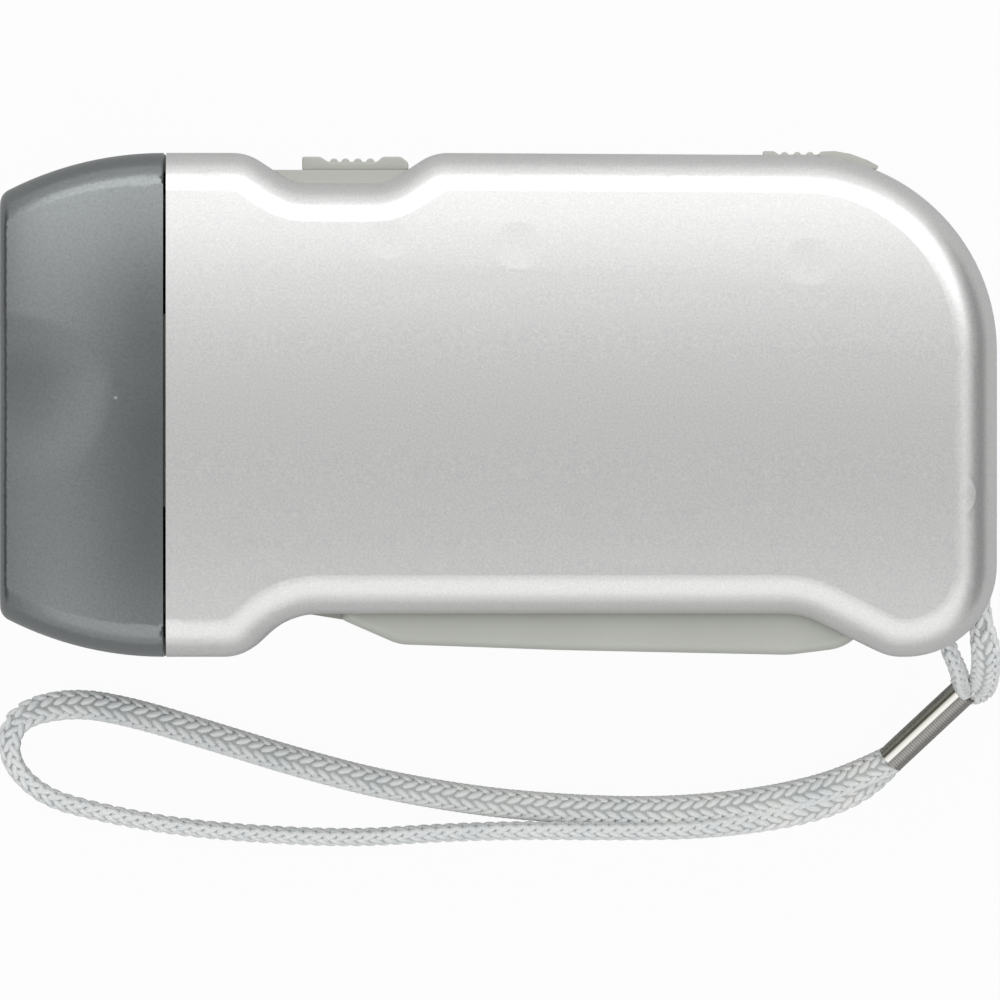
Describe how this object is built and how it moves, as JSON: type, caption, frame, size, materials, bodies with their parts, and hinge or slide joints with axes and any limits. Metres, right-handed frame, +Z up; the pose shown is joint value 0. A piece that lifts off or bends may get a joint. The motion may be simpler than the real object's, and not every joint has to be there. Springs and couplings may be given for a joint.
{
  "type": "hand crank flashlight",
  "caption": "Hand-powered dynamo torch: a squeeze lever under a rounded silver body drives a gear train and generator that lights a recessed lamp head; with switch, lever lock and wrist strap.",
  "frame": {"origin": "middle of the torch's footprint, on the surface that it lies on", "axes": "+X from the lamp head to the strap end, +Y from the squeeze lever to the switch, +Z up, through the torch's thickness"},
  "size_m": [0.1045, 0.0735, 0.0401],
  "materials": {
    "silver_shell": "satin silver lacquer over moulded plastic",
    "smoke_head": "satin smoke-grey moulded plastic",
    "light_grey": "fine matt moulded plastic",
    "clear_lens": "clear moulded plastic",
    "mirror_bowl": "vacuum-coated mirror",
    "clear_led": "clear resin",
    "circuit_board": "green solder mask",
    "black_chip": "matt moulded",
    "white_inner": "natural acetal",
    "brass_pinion": "turned",
    "copper_wire": "enamelled copper winding",
    "ferrite": "sintered",
    "cell_steel": "bright nickel-plated",
    "spring_steel": "bright drawn",
    "nickel_steel": "bright nickel-plated, finely hatched",
    "plain_steel": "zinc-plated",
    "knit_cord": "silver-white knitted synthetic yarn"
  },
  "bodies": {
    "root": {"left_shell": "silver_shell", "right_shell": "silver_shell", "shell_screws": "plain_steel", "head_housing": "smoke_head", "lens": "clear_lens", "reflector": "mirror_bowl", "led_board": "circuit_board", "leds": "clear_led", "lamp_carrier": "white_inner", "lever_pivot_pin": "plain_steel", "return_spring": "spring_steel", "gear_1_axle": "plain_steel", "gear_2_axle": "plain_steel", "lower_gear_plate": "plain_steel", "upper_gear_plate": "plain_steel", "plate_posts": "plain_steel", "plate_screws": "plain_steel", "stator_cup_lower": "plain_steel", "stator_cup_upper": "plain_steel", "bobbin": "white_inner", "stator_coil": "copper_wire", "battery": "cell_steel", "battery_clip": "spring_steel", "power_board": "circuit_board", "board_screws": "plain_steel", "rectifier_diodes": "black_chip", "switch_plate": "light_grey", "slide_switch_body": "black_chip", "strap_bar": "plain_steel", "strap_anchor_loop": "knit_cord", "strap_ferrule": "nickel_steel", "strap_wrist_loop": "knit_cord"},
    "lever": {"lever": "light_grey", "drive_sector": "plain_steel", "sector_screws": "plain_steel"},
    "gear_1": {"pinion_1": "white_inner", "wheel_1": "white_inner"},
    "gear_2": {"pinion_2": "white_inner", "wheel_2": "white_inner"},
    "rotor": {"rotor_shaft": "plain_steel", "rotor_pinion": "brass_pinion", "flywheel": "plain_steel", "rotor_magnet": "ferrite"},
    "switch": {"switch_knob": "light_grey", "switch_slider": "white_inner"},
    "lock": {"lock_knob": "light_grey", "lock_hook": "light_grey"}
  },
  "joints": [
    {"name": "lever_hinge", "type": "hinge", "parent": "root", "child": "lever", "pos_m": [-0.024, -0.0185, 0.02], "axis": [0, 0, -1], "range_deg": [0, 26]},
    {"name": "gear_1_spin", "type": "hinge", "parent": "root", "child": "gear_1", "pos_m": [0.00781, -0.00367, 0.02], "axis": [0, 0, 1], "range_deg": [0, 177]},
    {"name": "gear_2_spin", "type": "hinge", "parent": "root", "child": "gear_2", "pos_m": [0.02375, 0.0006, 0.02], "axis": [0, 0, -1], "range_deg": [0, 708]},
    {"name": "rotor_spin", "type": "hinge", "parent": "root", "child": "rotor", "pos_m": [0.03625, 0.0006, 0.02], "axis": [0, 0, 1], "range_deg": [0, 2830]},
    {"name": "switch_slide", "type": "slide", "parent": "root", "child": "switch", "axis": [-1, 0, 0], "range_m": [0, 0.0026]},
    {"name": "lock_slide", "type": "slide", "parent": "root", "child": "lock", "axis": [1, 0, 0], "range_m": [0, 0.002]}
  ],
  "couplings": [
    {"joint": "gear_1_spin", "follows": "lever_hinge", "ratio": 6.8},
    {"joint": "gear_2_spin", "follows": "lever_hinge", "ratio": 27.2},
    {"joint": "rotor_spin", "follows": "lever_hinge", "ratio": 108.8}
  ]
}
